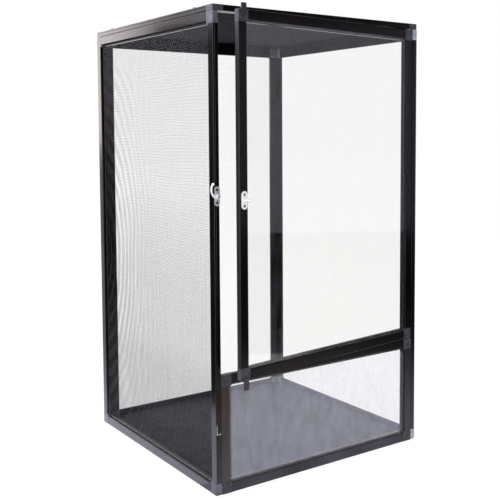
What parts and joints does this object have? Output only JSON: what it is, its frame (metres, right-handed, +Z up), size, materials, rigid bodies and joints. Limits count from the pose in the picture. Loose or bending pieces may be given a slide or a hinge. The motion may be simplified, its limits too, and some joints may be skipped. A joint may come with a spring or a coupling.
{
  "type": "reptile terrarium",
  "caption": "Tall screen-sided reptile cage of framed panels with a hinged clear door, a clear lower front, a mesh lid and a swing-hook catch.",
  "frame": {"origin": "middle of the square footprint, on the surface that the cage stands on", "axes": "+Z up, +X to the right along the front, +Y from the front to the back"},
  "size_m": [0.459, 0.5145, 0.8018],
  "materials": {
    "anodised_frame": "dark bronze-black anodised extrusion, satin",
    "key_plastic": "smoke-grey moulded plastic, slightly translucent",
    "insect_screen": "fine black insect screen",
    "clear_acrylic": "clear acrylic sheet, polished",
    "seal_rubber": "matte rubber strip",
    "floor_pvc": "dark grey foamed PVC board, satin",
    "bright_chrome": "polished chrome plate",
    "bare_steel": "plain turned steel",
    "black_plastic": "black moulded plastic",
    "black_steel": "black zinc plate"
  },
  "bodies": {
    "cabinet": {"left_front_stile": "anodised_frame", "left_rear_stile": "anodised_frame", "left_top_rail": "anodised_frame", "left_bottom_rail": "anodised_frame", "left_corner_keys": "key_plastic", "left_mesh": "insect_screen", "left_spline": "seal_rubber", "right_front_stile": "anodised_frame", "right_rear_stile": "anodised_frame", "right_top_rail": "anodised_frame", "right_bottom_rail": "anodised_frame", "right_corner_keys": "key_plastic", "right_mesh": "insect_screen", "right_spline": "seal_rubber", "back_left_stile": "anodised_frame", "back_right_stile": "anodised_frame", "back_top_rail": "anodised_frame", "back_bottom_rail": "anodised_frame", "back_corner_keys": "key_plastic", "back_mesh": "insect_screen", "back_spline": "seal_rubber", "lid_front_rail": "anodised_frame", "lid_rear_rail": "anodised_frame", "lid_left_rail": "anodised_frame", "lid_right_rail": "anodised_frame", "lid_corner_keys": "key_plastic", "lid_hinge_key": "key_plastic", "lid_mesh": "insect_screen", "lid_spline": "seal_rubber", "lower_left_stile": "anodised_frame", "lower_right_stile": "anodised_frame", "lower_top_rail": "anodised_frame", "lower_bottom_rail": "anodised_frame", "lower_corner_keys": "key_plastic", "lower_hinge_key": "key_plastic", "lower_pane": "clear_acrylic", "lower_gasket": "seal_rubber", "hinge_washer": "black_plastic", "floor_board": "floor_pvc", "catch_plate": "bright_chrome", "catch_rivet": "bright_chrome", "catch_screws": "bright_chrome", "lid_screws": "black_steel", "back_screws": "black_steel"},
    "door": {"door_free_stile": "anodised_frame", "door_hinge_stile": "anodised_frame", "door_top_rail": "anodised_frame", "door_bottom_rail": "anodised_frame", "door_free_keys": "key_plastic", "door_hinge_keys": "key_plastic", "door_pane": "clear_acrylic", "door_gasket": "seal_rubber", "door_hinge_pins": "bare_steel", "door_stops": "black_plastic", "keeper_plate": "bright_chrome", "keeper_stud": "bright_chrome", "keeper_screws": "bright_chrome"},
    "hook": {"catch_hook": "bright_chrome"}
  },
  "joints": [
    {"name": "door_hinge", "type": "hinge", "parent": "cabinet", "child": "door", "pos_m": [0.2084, -0.2204, 0.2], "axis": [0, 0, 1], "range_deg": [-6.8, 88.2]},
    {"name": "hook_pivot", "type": "hinge", "parent": "cabinet", "child": "hook", "pos_m": [-0.22, -0.2284, 0.4945], "axis": [0, 1, 0], "range_deg": [-150, 129]}
  ]
}
